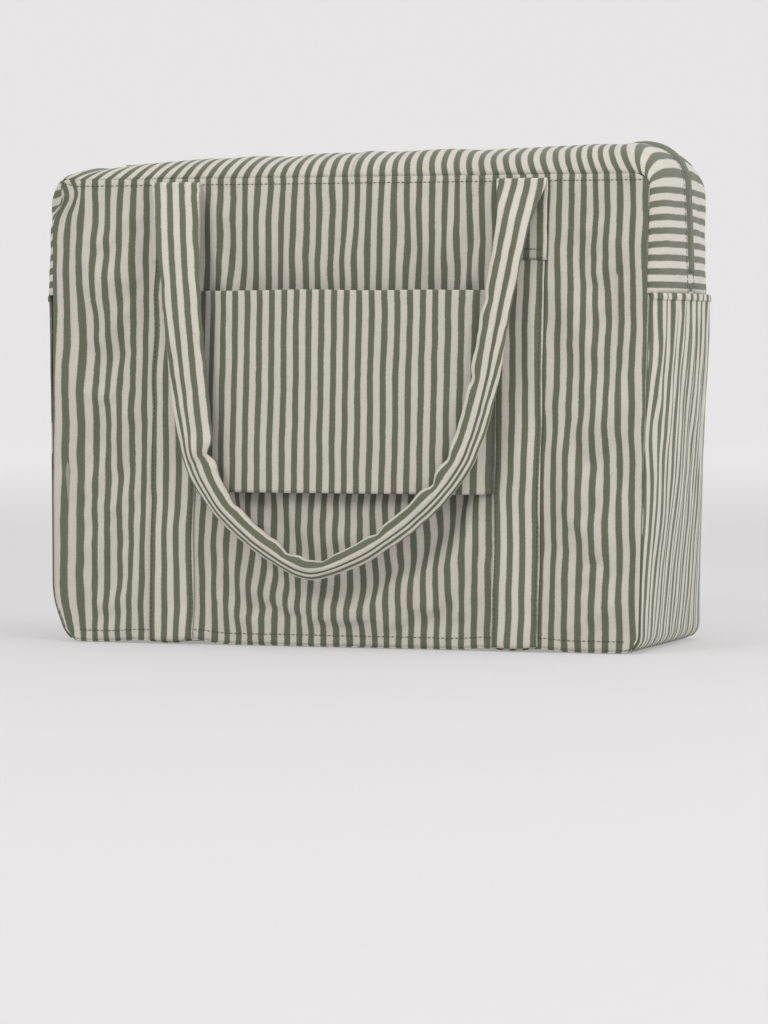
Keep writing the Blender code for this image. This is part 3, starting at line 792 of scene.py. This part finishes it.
def luggage_sleeve():
    """The band on the back that slips over a trolley handle."""
    low_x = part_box("back_left_strap_strip")[1].x + 0.0008
    high_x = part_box("back_right_strap_strip")[0].x - 0.0008
    stand = -sleeve_low.y - HALF_DEPTH - 0.0016

    def point(u, v):
        x = mix(low_x, high_x, u)
        z = mix(sleeve_low.z, sleeve_high.z, v)
        lift = 0.0012 + stand * (1 - abs(2 * u - 1) ** 7)
        wave = 0.0009 * wander(x / 0.045, z / 0.07, 50.0) + 0.0004 * wander(x / 0.015, z / 0.03, 53.0)
        droop = 0.0012 * bump_at(v, 1.0, 0.10) * wander(x / 0.06, 0, 55.0)
        wave *= min(1.0, 8 * (1 - abs(2 * u - 1)))
        seat = panel_swell(BACK, x, z) * abs(2 * u - 1) ** 3
        return Vector((x, -(HALF_DEPTH + lift + wave + seat), z + droop))

    def flat(u, v):
        x = mix(low_x, high_x, u)
        z = mix(sleeve_low.z, sleeve_high.z, v)
        return (x + 0.3 * stripe_drift(x, z, 57.0), z)

    node, size = "luggage_sleeve", ((high_x - low_x) * SLEEVE_EASE, sleeve_high.z - sleeve_low.z)
    bag_sheet(node, node + "_cloth", point, flat, (110, 60), size, (STRIPED, STRIPED), thickness=0.0014)


def laptop_pouch():
    """The lined pouch inside the back panel."""
    stand = pouch_high.y - pouch_low.y - 0.003

    def point(u, v):
        x = mix(pouch_low.x + 0.001, pouch_high.x - 0.001, u)
        z = mix(pouch_low.z, pouch_high.z, v)
        lift = stand * v * (1 - abs(2 * u - 1) ** 6)
        wave = 0.0012 * wander(x / 0.05, z / 0.06, 60.0) * math.sin(math.pi * u)
        return Vector((x, -HALF_DEPTH + 0.0035 + lift + wave + 0.001 * math.sin(math.pi * u), z))

    def flat(u, v):
        return (mix(pouch_low.x, pouch_high.x, u), mix(pouch_low.z, pouch_high.z, v))

    node, size = "laptop_sleeve", (pouch_high.x - pouch_low.x, pouch_high.z - pouch_low.z)
    options = {"slot": "lining", "thickness": 0.0012, "turned": True}
    bag_sheet(node, node + "_cloth", point, flat, (80, 50), size, (LINING,), **options)


def seam_binding(facing):
    """The binding over the raw edges inside, round one large panel."""
    name = FACES[facing] + "_seam_binding"
    low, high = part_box(name)
    middle = (low.y + high.y) / 2
    inset = 0.0065
    turn = 0.008
    step = 0.006
    corners = []
    reach_low, reach_high = base_high.x - inset, high.x - inset
    for cx, cz, start in (
        (reach_low - turn, low.z + inset + turn, -90),
        (reach_high - turn, high.z - inset - turn, 0),
        (-reach_high + turn, high.z - inset - turn, 90),
        (-reach_low + turn, low.z + inset + turn, 180),
    ):
        for i in range(7):
            angle = math.radians(start + 15 * i)
            corners.append(Vector((cx + turn * math.cos(angle), middle, cz + turn * math.sin(angle))))
    path = []
    for a, b in zip(corners, corners[1:] + corners[:1]):
        steps = max(1, round((b - a).length / step))
        path += [a.lerp(b, i / steps) for i in range(steps)]
    rings, uvs, travelled = [], [], 0.0
    for i, p in enumerate(path):
        ahead = (path[(i + 1) % len(path)] - path[i - 1]).normalized()
        wide = Vector((-ahead.z, 0, ahead.x))
        travelled += step
        ring = []
        for k in range(8):
            angle = math.tau * k / 8
            wave = 0.0002 * wander(travelled / 0.02, k, 70.0)
            up = Vector((0, (0.0007 + wave) * math.sin(angle), 0))
            ring.append(p + wide * (0.0040 * math.cos(angle)) + up)
            uvs.append((0.004 * k, travelled))
        rings.append(ring)
    rings.append(rings[0])
    uvs += uvs[:8]
    obj = tube(name + "_tape", rings, [BINDING], uvs)
    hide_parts(name)
    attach(obj, "bag")


# ---- straps and handles


def flat_section(wide, thick):
    """The section of a flat strap with soft edges, as (across, out) pairs."""
    pairs = []
    for k in range(22):
        angle = math.tau * k / 22
        c, s = math.cos(angle), math.sin(angle)
        across = math.copysign(abs(c) ** 0.75, c) * wide / 2
        pairs.append((across, math.copysign(abs(s) ** 0.42, s) * thick / 2))
    return pairs


def strap_strip(facing, side):
    """The strap sewn flat on a panel below its bar stitches."""
    name = f"{FACES[facing]}_{SIDES[side]}_strap_strip"
    low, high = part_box(name)
    centre, wide = (low.x + high.x) / 2, high.x - low.x
    outward = Vector((0, facing, 0))
    steps = 90
    rings, uvs = [], []
    for i in range(steps + 1):
        z = mix(base_low.z + 0.002, high.z + 0.003, i / steps)
        ring = []
        for across, out in flat_section(wide, 0.0018):
            x = centre + across + 0.0007 * wander(z / 0.03, across * 40, 80 + side)
            puff = 0.0007 * (1 - (2 * across / wide) ** 4) * (0.6 + wander(z / 0.02, across * 60, 82 + side))
            lift = 0.0012 + out + (puff if out > 0 else 0)
            ring.append(panel_point(facing, x, z, lift))
            uvs.append((across - 0.25 * STRIPE + 0.6 * stripe_drift(x, z, 83.0), z))
        rings.append(ring)
    obj = tube(name + "_cloth", rings, [PAINTED_LIGHT_STRAP_CLOTH], uvs)
    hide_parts(name)
    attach(obj, "bag")
    for edge in (-1, 1):
        line = []
        for i in range(140):
            z = mix(base_low.z + 0.004, high.z - 0.002, i / 139)
            x = centre + edge * (wide / 2 - 0.0022) + 0.0006 * wander(z / 0.03, edge, 80 + side)
            line.append(panel_point(facing, x, z, 0.0024))
        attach(stitches(f"{name}_stitches_{'inner' if edge * side < 0 else 'outer'}", line, outward), "bag")
    for row, rise in (("low", 0.0), ("high", 0.007)):
        z = high.z - 0.003 + rise
        places = [centre + mix(-0.5, 0.5, i / 12) * (wide - 0.004) for i in range(13)]
        line = [panel_point(facing, x, z, 0.0034) for x in places]
        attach(stitches(f"{name}_bar_{row}", line, outward, pitch=0.0026, radius=0.00042), "bag")


def stitches(name, line, out, pitch=0.0034, radius=0.00030):
    """A row of stitches along a line of points: one slim lozenge of thread for each."""
    lengths = lengths_along(line)
    count = max(1, round(lengths[-1] / pitch))
    points, faces = [], []

    def at(distance):
        distance = clamp(distance, 0, lengths[-1])
        k = stretch_at(lengths, distance)
        span = lengths[k + 1] - lengths[k]
        return line[k].lerp(line[k + 1], (distance - lengths[k]) / span if span else 0)

    for n in range(count):
        start, end = at((n + 0.10) * pitch), at((n + 0.90) * pitch)
        ahead = (end - start).normalized()
        aside = ahead.cross(out).normalized()
        up = aside.cross(ahead)
        if up.dot(out) < 0:
            up = -up
        first = len(points)
        points.append(start - up * radius)
        for share in (0.2, 0.5, 0.8):
            middle = start.lerp(end, share)
            swell = 1.0 if share == 0.5 else 0.8
            for k in range(5):
                angle = math.tau * k / 5
                points.append(middle + (aside * math.cos(angle) + up * math.sin(angle)) * radius * swell)
        points.append(end - up * radius)
        for k in range(5):
            j = (k + 1) % 5
            faces.append((first, first + 1 + k, first + 1 + j))
            for ring in (0, 5):
                a = first + 1 + ring
                faces.append((a + k, a + 5 + k, a + 5 + j, a + j))
            faces.append((first + 11 + k, first + 16, first + 11 + j))
    obj = mesh_piece(name, points, faces, [THREAD])
    return obj


# The hanging handle: share of the way to its own strap, share of the drop, and width.
HANDLE_ROUTE = (
    (-0.967, 0.000, 0.0360), (-0.945, 0.060, 0.0345), (-0.925, 0.144, 0.0320),
    (-0.895, 0.250, 0.0290), (-0.868, 0.355, 0.0285), (-0.848, 0.450, 0.0280),
    (-0.828, 0.542, 0.0280), (-0.803, 0.637, 0.0260), (-0.763, 0.731, 0.0220),
    (-0.653, 0.824, 0.0180), (-0.500, 0.897, 0.0160), (-0.311, 0.961, 0.0145),
    (-0.110, 0.999, 0.0135), (0.144, 0.958, 0.0145), (0.312, 0.910, 0.0155),
    (0.446, 0.863, 0.0165), (0.600, 0.795, 0.0175), (0.716, 0.722, 0.0190),
    (0.780, 0.655, 0.0200), (0.826, 0.586, 0.0205), (0.870, 0.500, 0.0205),
    (0.904, 0.408, 0.0200), (0.932, 0.330, 0.0205), (0.958, 0.250, 0.0205),
    (0.984, 0.165, 0.0215), (1.010, 0.075, 0.0260), (1.030, 0.000, 0.0360),
)

# At this share of its length, one edge of the folded handle stands proud by this much and then drops.
BEND, BEND_STEP = 0.297, 0.0036
# Where the folded handle creases on the inside of its curve: share of its length, and depth.
CREASES = ((0.297, 0.0042), (0.365, 0.0014), (0.450, 0.0026), (0.500, 0.0012), (0.572, 0.0018))
CREASES += ((0.655, 0.0028), (0.690, 0.0014), (0.785, 0.0016), (0.870, 0.0012), (0.180, 0.0012))


def smooth_route(points, steps):
    """A Catmull-Rom curve through points."""
    padded = [2 * points[0] - points[1], *points, 2 * points[-1] - points[-2]]
    route = []
    for a, b, c, d in zip(padded, padded[1:], padded[2:], padded[3:]):
        for i in range(steps):
            t = i / steps
            curve = 2 * b + (c - a) * t + (2 * a - 5 * b + 4 * c - d) * t**2
            route.append((curve + (3 * b - a - 3 * c + d) * t**3) / 2)
    return route + [points[-1]]


SECTION_POINTS = 40


def strap_section(width, thick, folded, creased, seed, travelled):
    """Points round a strap, as (across, out): flat, or folded in two along its length."""
    pairs = []
    for k in range(SECTION_POINTS):
        angle = math.radians(-89.6 + 359.2 * k / (SECTION_POINTS - 1))
        c, s = math.cos(angle), math.sin(angle)
        lateral = math.copysign(abs(c) ** mix(0.72, 0.95, folded), c)
        height = math.copysign(abs(s) ** mix(0.40, 0.80, folded), s)
        lobe = 1.0 - 0.42 * folded * bump_at(lateral, -0.22, 0.10)
        lobe *= 1.0 - 0.22 * folded * smooth((-0.3 - lateral) / 0.3)
        out = height * thick / 2 * (lobe if s > 0 else 1.0)
        across = lateral * width / 2
        inner = max(0.0, lateral)
        across -= creased * inner
        out -= 0.7 * creased * bump_at(lateral, 0.62, 0.35) * (1 if s > 0 else -0.5)
        if s > 0:
            out += 0.0010 * wander(travelled / 0.012, lateral * 1.5, seed) * (0.35 + 0.65 * folded)
            out += 0.0005 * wander(travelled / 0.005, lateral * 3.0, seed + 3)
            out -= 0.0004 * (bump_at(lateral, 0.80, 0.05) + bump_at(lateral, -0.80, 0.05)) * (1 - folded)
        across += 0.0006 * wander(travelled / 0.009, 0.5, seed + 6) * lateral
        pairs.append((across, out))
    return pairs


def unrolled(width, thick, folded, gathered):
    """Each point's place across the flat cloth. The narrow lobe of a folded strap holds more of it."""
    pairs = strap_section(width, thick, folded, 0.0, 0.0, 0.0)
    lengths = [0.0]
    for a, b in zip(pairs, pairs[1:]):
        lengths.append(lengths[-1] + math.hypot(b[0] - a[0], b[1] - a[1]))
    middle = lengths[-1] / 2
    places, swallowed = [], 0.0
    for (across, out), length in zip(pairs, lengths):
        if length > 0.3 * lengths[-1]:
            swallowed = max(swallowed, 1.7 * gathered * max(0.0, -0.12 * width / 2 - across))
        places.append(length - middle + swallowed - 0.25 * STRIPE)
    return places


ROLL = 0.0065  # half the thickness of the rolled part of a handle
FOLD_STEP = 0.0036  # how far the swinging layer lies in front of the sewn one
THIN, FLAT, FOLDED = 0.0020, 0.0026, 0.0120  # a handle's thickness at its roots, flat, and folded in two
NARROWEST = 0.0140


def handle(facing):
    """A whole handle: up from one pair of bar stitches, over the fold, round the loop and back."""
    face = FACES[facing]
    left_low, left_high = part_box(f"{face}_left_handle_root")
    right_low, right_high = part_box(f"{face}_right_handle_root")
    left_x, right_x = (left_low.x + left_high.x) / 2, (right_low.x + right_high.x) / 2
    low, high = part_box(face + "_handle")
    wide_top = left_high.x - left_low.x
    fold = left_high.z
    start_z = fold - 0.002
    drop = fold - low.z - ROLL
    inner = HALF_DEPTH + 0.0022
    outer = inner + FOLD_STEP
    hang = max(abs(low.y), abs(high.y)) - ROLL
    middle, reach = (left_x + right_x) / 2, (right_x - left_x) / 2
    stations = []
    for across, down, width in HANDLE_ROUTE:
        out = mix(outer, hang, min(1, 3 * down) ** 0.7)
        stations.append(Vector((middle + reach * across, out, start_z - (drop - 0.002) * down, width)))
    loop = smooth_route(stations, 7)
    stitch_z = left_low.z - 0.004

    def root(x, up):
        """From the bar stitches up to the fold, and over it."""
        path = []
        for i in range(15):
            z = mix(stitch_z, start_z, i / 14)
            path.append(Vector((x + lean(x, z), inner, z, wide_top)))
        for i in range(1, 7):
            angle = math.pi * (1 - i / 7)
            y = mix(inner, outer, 0.5) + (outer - inner) / 2 * math.cos(angle)
            z = start_z + FOLD_STEP * math.sin(angle)
            path.append(Vector((x + lean(x, z), y, z, wide_top)))
        return path if up else path[::-1]

    left, right = root(left_x, True), root(right_x, False)
    path = left + loop + right
    lengths = lengths_along([p.xyz for p in path])
    first, last = len(left), len(path) - len(right) - 1
    rings, uvs = [], []
    for i, p in enumerate(path):
        ahead = (path[min(i + 1, len(path) - 1)] - path[max(i - 1, 0)]).xyz
        wide, share = Vector((1 if i < (first + last) / 2 else -1, 0, 0)), 0.0
        if first <= i <= last:
            share = clamp((fold - p.z) / drop)
            settled = smooth(min(i - first, last - i) / 6)
            wide = wide.lerp(Vector((-ahead.z, 0, ahead.x)).normalized(), settled).normalized()
        normal = wide.cross(ahead.normalized()).normalized()
        narrow = clamp((wide_top - p.w) / (wide_top - NARROWEST))
        folded = smooth(1.15 * narrow)
        thick = mix(FLAT, FOLDED, folded**1.4) if first + 2 < i < last - 2 else THIN
        along = (lengths[i] - lengths[first]) / (lengths[last] - lengths[first])
        creased = sum(depth * bump_at(along, at, 0.0075) for at, depth in CREASES)
        creased -= 0.35 * sum(depth * bump_at(abs(along - at), 0.016, 0.009) for at, depth in CREASES)
        creased *= 0.30 + 0.70 * folded
        pairs = strap_section(p.w, thick, folded, creased, 90.0 + facing, lengths[i])
        step = BEND_STEP * smooth((along - BEND + 0.030) / 0.024) * (1 - smooth((along - BEND) / 0.004))
        places = unrolled(p.w, thick, folded, folded * smooth((share - 0.30) / 0.35))
        ring = []
        for (across, out), place in zip(pairs, places):
            spot = p.xyz + wide * across + normal * out
            spot.y += step * smooth((across / p.w + 0.5) / 0.5)
            ring.append(Vector((spot.x, facing * spot.y, spot.z)))
            uvs.append((place, lengths[i]))
        rings.append(ring)
    obj = tube(face + "_handle_cloth", rings, [PAINTED_LIGHT_STRAP_CLOTH], uvs, soft=False)
    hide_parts(face + "_handle", face + "_left_handle_root", face + "_right_handle_root")
    # Points on the sewn layer and on the outer layer of the fold; the handle's placement is baked into its
    # mesh.
    start, end = (0, facing * (inner + 0.0013), 0), (0, facing * (outer + 0.0022), 0)
    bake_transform(obj)
    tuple(start)
    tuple(end)


# ---- zip


# Half of a zip's section, from its middle outwards: place across, and rise above the zip's line.
ZIP_SECTION = ((0.0006, 0.0002), (0.0016, 0.0009), (0.0027, 0.0003), (0.0031, -0.0006), (0.0042, -0.0009))
ZIP_SECTION += ((0.0120, -0.0013),)


def zip_rise(x):
    """How much higher the zip stands past the slider's reach."""
    return ZIP_PROUD * smooth((x - ZIP_PROUD_FROM) / 0.010)


def zip_half(facing, side):
    """Half of the zip's length on one side: its tape and its coil."""
    line = zip_rows(side)
    keep = [i for i in range(len(line)) if line[i].y >= stop_low.z - 0.004]
    name = f"{FACES[facing]}_{SIDES[side]}_zip"
    points, uvs = [], []
    travelled = 0.0
    for n, i in enumerate(keep):
        out = outward_of(line, i, side)
        if n:
            travelled += (line[i] - line[keep[n - 1]]).length
        for y, rise in ZIP_SECTION:
            share = 1 if y < 0.003 else 0.6 if y < 0.004 else 0
            place = line[i] + out * (rise + zip_rise(line[i].x) * share)
            points.append(Vector((place.x, facing * y, place.y)))
            uvs.append((y, travelled))
    tape = mesh_piece(name + "_tape", points, grid_faces(len(ZIP_SECTION), len(keep)), [TAPE], uvs)
    if facing * side < 0:
        tape.data.flip_normals()
    thicken(tape, 0.0005)
    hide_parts(f"{FACES[facing]}_zip_tape", f"{FACES[facing]}_{SIDES[side]}_zip_end")
    blend_with_lip(tape, facing, side)
    coil_half(facing, side, [line[i] for i in keep])


def coil_half(facing, side, line):
    """The coil along the edge of one tape: a slim rounded bar for each turn."""
    pitch, radius = 0.0014, 0.00034
    bar = ((-0.0004, 0.0004, 0.5), (0.0004, 0.0010, 1.0), (0.0022, 0.0011, 1.0), (0.0029, 0.0002, 0.8))
    lengths = lengths_along(line)
    count = int((lengths[-1] - 0.001) / pitch)
    points, faces = [], []
    for n in range(count):
        distance = (n + (0.5 if facing == BACK else 0.0) + 0.2) * pitch
        k = stretch_at(lengths, distance)
        ahead = (line[k + 1] - line[k]).normalized()
        centre = line[k] + ahead * (distance - lengths[k])
        out = Vector((-ahead.y, ahead.x)) * side
        centre += out * zip_rise(centre.x)
        first = len(points)
        for y, rise, size in bar:
            for turn in range(6):
                angle = math.tau * turn / 6
                shift = ahead * (radius * size * math.cos(angle))
                shift += out * (rise + radius * size * math.sin(angle))
                points.append(Vector((centre.x + shift.x, facing * y, centre.y + shift.y)))
        for ring in range(3):
            a = first + 6 * ring
            for turn in range(6):
                j = (turn + 1) % 6
                faces.append((a + turn, a + 6 + turn, a + 6 + j, a + j))
        faces.append(tuple(first + t for t in range(6)))
        faces.append(tuple(first + 18 + t for t in range(6))[::-1])
    obj = mesh_piece(f"{FACES[facing]}_{SIDES[side]}_zip_coil", points, faces, [COIL])
    face_outward(obj)
    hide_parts(f"{FACES[facing]}_zip_coil")
    blend_with_lip(obj, facing, side)


def zip_end_tab(side):
    """The striped scrap that closes the slot under the zip's end."""
    low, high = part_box(f"{SIDES[side]}_zip_end_tab")

    def point(u, v):
        z = mix(low.z - 0.001, high.z + 0.004, v)
        y = mix(-ZIP_EDGE - 0.001, ZIP_EDGE + 0.001, u)
        out = mix(SIDE_OUT, abs(zip_rows(side)[TOP_ROWS + TURN_ROWS].x), (z - POCKET_TOP) / 0.07)
        return Vector((side * (out + 0.0008 * math.sin(math.pi * u)), y, z))

    def flat(u, v):
        return (mix(0, high.z - low.z, v), mix(-0.008, 0.008, u))

    node, size = f"{SIDES[side]}_zip_end_tab", (2 * ZIP_EDGE + 0.002, high.z - low.z + 0.001)
    bag_sheet(node, node + "_cloth", point, flat, (10, 14), size, turned=side == LEFT)


SOFT_EDGES = {
    "zip_slider": 0.0003,
    "zip_pull": 0.0005,
    "zip_pull_pin": 0.00015,
    "left_zip_stop": 0.0006,
    "right_zip_stop": 0.0006,
}


def finish_metal():
    """Slider, pull, pin and stops keep their CAD shape, with softened edges and a painted finish."""
    for name, width in SOFT_EDGES.items():
        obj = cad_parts[name]
        obj.data.materials.clear()
        obj.data.materials.append(METAL)
        soften = obj.modifiers.new("soft_edges", "BEVEL")
        soften.width = width
        soften.segments = 3
        soften.limit_method = "ANGLE"
        soften.angle_limit = math.radians(35)


def panel_stitching(facing):
    """The stitch line under the top seam and the one along the base."""
    out = Vector((0, facing, 0))
    for name, z, inset in (("top", SEAM_TOP - 0.0045, 0.004), ("base", base_low.z + 0.0085, 0.010)):
        half = half_at(z) - inset
        line = [panel_point(facing, mix(-half, half, i / 300), z, 0.0003) for i in range(301)]
        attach(stitches(f"{FACES[facing]}_{name}_stitching", line, out), "bag")


def zip_stitching(facing, side):
    """The stitch line that holds the zip to the top, beside its edge."""
    point = gusset_shape(facing, side)[0]
    rows = TOP_ROWS + TURN_ROWS + SIDE_ROWS
    line = []
    for j in range(rows + 1):
        proud = Vector((0, 0, 0.0002)) if j < TOP_ROWS else Vector((side * 0.0002, 0, 0))
        line.append(point(0.955, j / rows) + proud)
    out = Vector((side * 0.4, 0, 1))
    obj = stitches(f"{FACES[facing]}_{SIDES[side]}_zip_stitching", line, out, radius=0.00024)
    blend_with_lip(obj, facing, side)


# ---- stage, light and camera


def studio():
    """Even light, and a round pale backdrop: flat near the bag, turned up far behind it."""
    scene = bpy.context.scene
    scene.view_settings.view_transform = "Standard"
    world = bpy.data.worlds.new("studio")
    world.use_nodes = True
    set_inputs(world.node_tree.nodes["Background"], {"Color": (0.815, 0.799, 0.807, 1), "Strength": 1.0})
    scene.world = world
    floor_material, nodes, shader = new_material("pale_floor")
    set_inputs(shader, {"Roughness": 0.9, "Specular IOR Level": 0.1})
    shader.inputs["Emission Color"].default_value = (0.80, 0.788, 0.794, 1)
    place = nodes.add("ShaderNodeTexCoord").outputs["Object"]
    flat_place = nodes.add("ShaderNodeVectorMath", operation="MULTIPLY")
    flat_place.inputs[1].default_value = (1, 1, 0)
    nodes.join(place, flat_place.inputs[0])
    far = nodes.add("ShaderNodeVectorMath", operation="LENGTH")
    nodes.join(flat_place.outputs[0], far.inputs[0])
    away = nodes.soft_step(far.outputs["Value"], 0.8, 5.0)
    nodes.join(nodes.total((away, 0.22), 0.38), shader.inputs["Emission Strength"])
    grain = nodes.noise(place, 60, 3)
    pale = nodes.colours(grain, (0.375, 0.369, 0.372), (0.385, 0.379, 0.382))
    nodes.join(pale, shader.inputs["Base Color"])
    flat_reach, turn = 6.0, 2.4
    profile = [(0.0, 0.0), (1.0, 0.0), (3.0, 0.0), (flat_reach, 0.0)]
    for i in range(1, 13):
        angle = math.radians(70 * i / 12)
        profile.append((flat_reach + turn * math.sin(angle), turn - turn * math.cos(angle)))
    points, faces, around = [], [], 64
    for radius, z in profile:
        for k in range(around):
            angle = math.tau * k / around
            points.append(Vector((radius * math.cos(angle), radius * math.sin(angle), z - 0.0002)))
    for i in range(len(profile) - 1):
        for k in range(around):
            a, b, n = i * around, (i + 1) * around, (k + 1) % around
            faces.append((a + k, b + k, b + n, a + n))
    sweep = mesh_piece("pale_backdrop", points, faces, [floor_material], soft=False)


def softbox(name, place, size, power):
    """A rectangular lamp that faces the middle of the bag."""
    data = bpy.data.lights.new(name, "AREA")
    data.shape = "RECTANGLE"
    data.size, data.size_y = size
    data.energy = power
    lamp = link(bpy.data.objects.new(name, data))
    lamp.location = place
    lamp.rotation_euler = (Vector((0, 0, 0.2)) - Vector(place)).to_track_quat("-Z", "Y").to_euler()


CAMERA_YAW = 0.317
CAMERA_DISTANCE = 3.112
CAMERA_HEIGHT = 0.215
CAMERA_PITCH = math.radians(2.245)
CAMERA_LENS = 150.6


def camera():
    data = bpy.data.cameras.new("camera")
    data.lens = CAMERA_LENS
    data.sensor_width = 36
    data.clip_end = 100
    obj = link(bpy.data.objects.new("camera", data))
    ahead, aside = -CAMERA_DISTANCE * math.cos(CAMERA_YAW), CAMERA_DISTANCE * math.sin(CAMERA_YAW)
    obj.location = (aside, ahead, CAMERA_HEIGHT)
    obj.rotation_euler = (math.pi / 2 - CAMERA_PITCH, 0, CAMERA_YAW)
    bpy.context.scene.camera = obj


# ---- assembly

camera()
studio()
softbox("left_key", (-1.0, -2.4, 1.7), (1.1, 1.1), 20)
softbox("right_key", (1.9, -1.7, 1.7), (1.0, 1.0), 13)
softbox("right_fill", (2.4, 0.1, 1.0), (1.2, 1.2), 19)
softbox("top_fill", (0.2, -0.4, 2.6), (1.8, 1.4), 5)
base_cloth()
luggage_sleeve()
laptop_pouch()
for facing in (BACK, FRONT):
    large_panel(facing)
    seam_binding(facing)
    panel_stitching(facing)
    handle(facing)
    for side in (LEFT, RIGHT):
        gusset(facing, side)
        zip_half(facing, side)
        zip_stitching(facing, side)
        strap_strip(facing, side)
for side in (LEFT, RIGHT):
    side_panel(side)
    side_pocket(side)
    zip_end_tab(side)
finish_metal()
